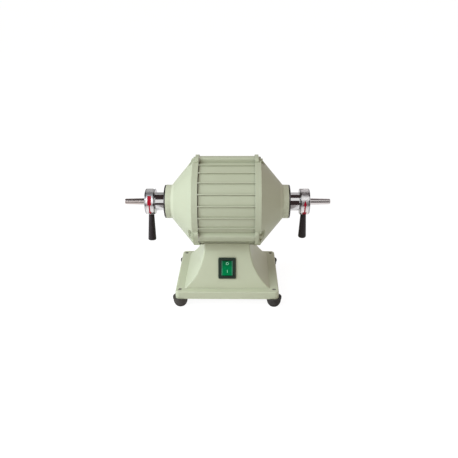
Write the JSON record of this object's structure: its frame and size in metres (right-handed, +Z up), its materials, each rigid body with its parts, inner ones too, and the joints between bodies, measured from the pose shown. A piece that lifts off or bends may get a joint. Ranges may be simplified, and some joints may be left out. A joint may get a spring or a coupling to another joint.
{
  "type": "electric polishing machine",
  "caption": "Bench polishing motor: finned round body with conical end bells on a cast pedestal, tapered spindles with lever-worked release collars, rocker switch.",
  "frame": {"origin": "on the table under the middle of the machine, level with the soles of the feet", "axes": "+X along the shaft to the right-hand spindle, -Y towards the switch and the user, +Z up"},
  "size_m": [0.3028, 0.1402, 0.2105],
  "materials": {
    "housing_paint": "satin pale sage green",
    "chrome": "polished",
    "steel": "turned bright",
    "zinc": "zinc plated",
    "black_rubber": "matte",
    "black_plastic": "fine grain",
    "green_rocker": "glossy green",
    "brass": "plain",
    "lamination": "stamped sheet",
    "copper": "varnished copper",
    "cast_aluminium": "as cast",
    "capacitor_case": "moulded",
    "terminal_plastic": "moulded"
  },
  "bodies": {
    "housing": {"base_casting": "housing_paint", "motor_body": "housing_paint", "left_end_bell": "housing_paint", "right_end_bell": "housing_paint", "left_nose_sleeve": "chrome", "right_nose_sleeve": "chrome", "left_nose_ring": "chrome", "right_nose_ring": "chrome", "wave_washer": "steel", "left_bearing_outer_race": "steel", "right_bearing_outer_race": "steel", "tie_bolts": "zinc", "tie_bolt_nuts": "zinc", "bottom_plate": "zinc", "bottom_plate_screws": "zinc", "foot_screws": "zinc", "motor_mount_screws": "zinc", "capacitor_clip": "zinc", "rubber_feet": "black_rubber", "switch_body": "black_plastic", "cable_gland": "black_plastic", "gland_locknut": "black_plastic", "switch_terminals": "brass", "stator_core": "lamination", "left_winding": "copper", "right_winding": "copper", "run_capacitor": "capacitor_case", "terminal_block": "terminal_plastic"},
    "rotor": {"motor_shaft": "steel", "rotor_core": "lamination", "rotor_end_rings": "cast_aluminium", "left_bearing_inner_race": "steel", "right_bearing_inner_race": "steel"},
    "left_cage": {"left_bearing_cage": "brass", "left_bearing_balls": "steel"},
    "right_cage": {"right_bearing_cage": "brass", "right_bearing_balls": "steel"},
    "rocker": {"switch_rocker": "green_rocker"},
    "left_thrust": {"left_thrust_ring": "steel"},
    "left_lever": {"left_lever_collar": "chrome", "left_cam_pin": "steel", "left_snap_ring": "steel", "left_lever_stud": "steel", "left_lever_grip": "black_plastic"},
    "right_thrust": {"right_thrust_ring": "steel"},
    "right_lever": {"right_lever_collar": "chrome", "right_cam_pin": "steel", "right_snap_ring": "steel", "right_lever_stud": "steel", "right_lever_grip": "black_plastic"}
  },
  "joints": [
    {"name": "rotor_spin", "type": "hinge", "parent": "housing", "child": "rotor", "pos_m": [0, 0, 0.141], "axis": [1, 0, 0], "continuous": true},
    {"name": "left_cage_orbit", "type": "hinge", "parent": "housing", "child": "left_cage", "pos_m": [-0.0779, 0, 0.141], "axis": [1, 0, 0], "continuous": true},
    {"name": "right_cage_orbit", "type": "hinge", "parent": "housing", "child": "right_cage", "pos_m": [0.0773, 0, 0.141], "axis": [1, 0, 0], "continuous": true},
    {"name": "left_eject", "type": "slide", "parent": "housing", "child": "left_thrust", "axis": [-1, 0, 0], "range_m": [0, 0.004]},
    {"name": "right_eject", "type": "slide", "parent": "housing", "child": "right_thrust", "axis": [1, 0, 0], "range_m": [0, 0.004]},
    {"name": "left_lever_turn", "type": "hinge", "parent": "left_thrust", "child": "left_lever", "pos_m": [-0.11295, 0, 0.141], "axis": [1, 0, 0], "range_deg": [0, 75]},
    {"name": "right_lever_turn", "type": "hinge", "parent": "right_thrust", "child": "right_lever", "pos_m": [0.11295, 0, 0.141], "axis": [-1, 0, 0], "range_deg": [0, 75]},
    {"name": "rocker_tilt", "type": "hinge", "parent": "housing", "child": "rocker", "pos_m": [0, -0.04651, 0.05469], "axis": [1, 0, 0], "range_deg": [0, 16]}
  ],
  "couplings": [
    {"joint": "left_cage_orbit", "follows": "rotor_spin", "ratio": 0.3825},
    {"joint": "right_cage_orbit", "follows": "rotor_spin", "ratio": 0.3825},
    {"joint": "left_eject", "follows": "left_lever_turn", "m_per_rad": 0.0030558},
    {"joint": "right_eject", "follows": "right_lever_turn", "m_per_rad": 0.0030558}
  ]
}
